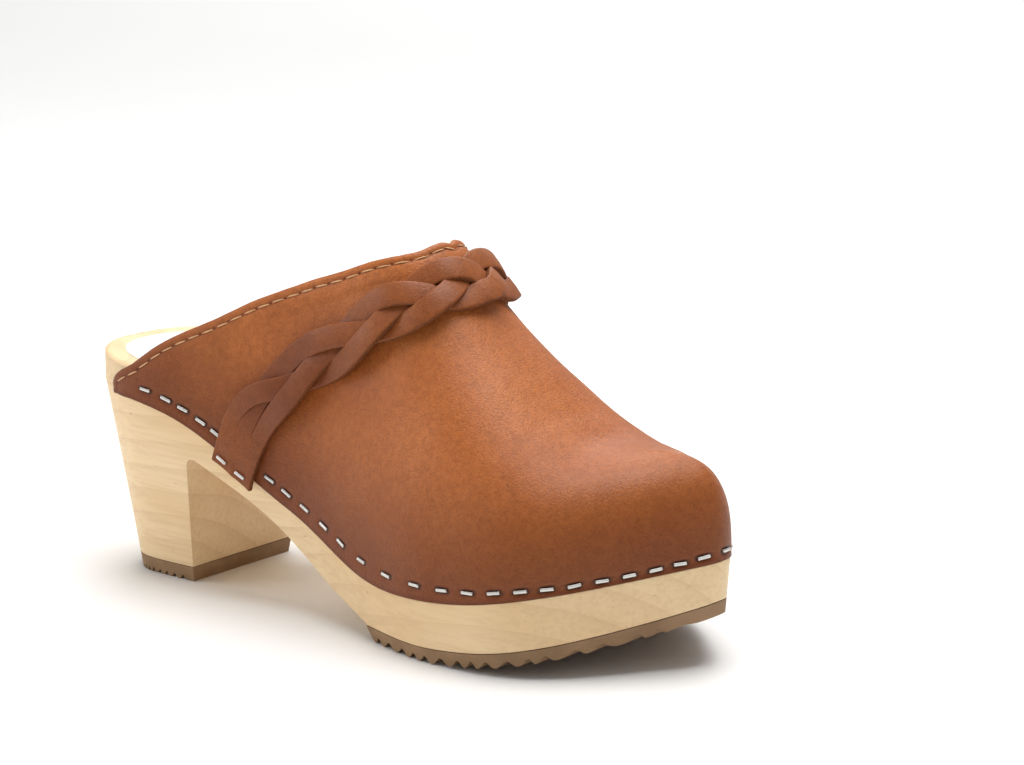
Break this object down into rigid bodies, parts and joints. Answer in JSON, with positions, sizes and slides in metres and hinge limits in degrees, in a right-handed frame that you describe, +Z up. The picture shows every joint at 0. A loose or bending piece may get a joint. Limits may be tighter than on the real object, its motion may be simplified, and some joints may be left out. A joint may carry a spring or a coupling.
{
  "type": "wooden clog",
  "caption": "High-heeled wooden clog for the right foot: carved wooden sole on rubber treads, stapled leather vamp and a braided leather strap over the instep",
  "frame": {"origin": "on the ground, under the middle of the clog's box", "axes": "+X to the toe, +Y to the inner (big toe) side, +Z up"},
  "size_m": [0.2506, 0.1006, 0.126],
  "materials": {
    "wood": "smooth pale sanded wood, satin",
    "rubber": "matt brown moulded rubber",
    "vamp_leather": "tan leather, fine grain, soft sheen",
    "stiffener": "matt stiffened felt",
    "strap_leather": "tan leather with raw cut edges",
    "label": "plain white sticker",
    "steel": "bright wire"
  },
  "bodies": {
    "root": {"wooden_sole": "wood", "forefoot_tread": "rubber", "heel_tread": "rubber", "leather_vamp": "vamp_leather", "toe_puff": "stiffener", "braided_strap": "strap_leather", "heel_label": "label", "staple_01": "steel", "staple_02": "steel", "staple_03": "steel", "staple_04": "steel", "staple_05": "steel", "staple_06": "steel", "staple_07": "steel", "staple_08": "steel", "staple_09": "steel", "staple_10": "steel", "staple_11": "steel", "staple_12": "steel", "staple_13": "steel", "staple_14": "steel", "staple_15": "steel", "staple_16": "steel", "staple_17": "steel", "staple_18": "steel", "staple_19": "steel", "staple_20": "steel", "staple_21": "steel", "staple_22": "steel", "staple_23": "steel", "staple_24": "steel", "staple_25": "steel", "staple_26": "steel", "staple_27": "steel", "staple_28": "steel", "staple_29": "steel", "staple_30": "steel", "staple_31": "steel", "staple_32": "steel", "staple_33": "steel", "staple_34": "steel", "staple_35": "steel", "staple_36": "steel", "staple_37": "steel", "staple_38": "steel", "staple_39": "steel", "staple_40": "steel", "staple_41": "steel", "staple_42": "steel", "staple_43": "steel", "staple_44": "steel", "staple_45": "steel", "staple_46": "steel", "staple_47": "steel", "staple_48": "steel", "staple_49": "steel", "staple_50": "steel", "staple_51": "steel"}
  },
  "joints": []
}
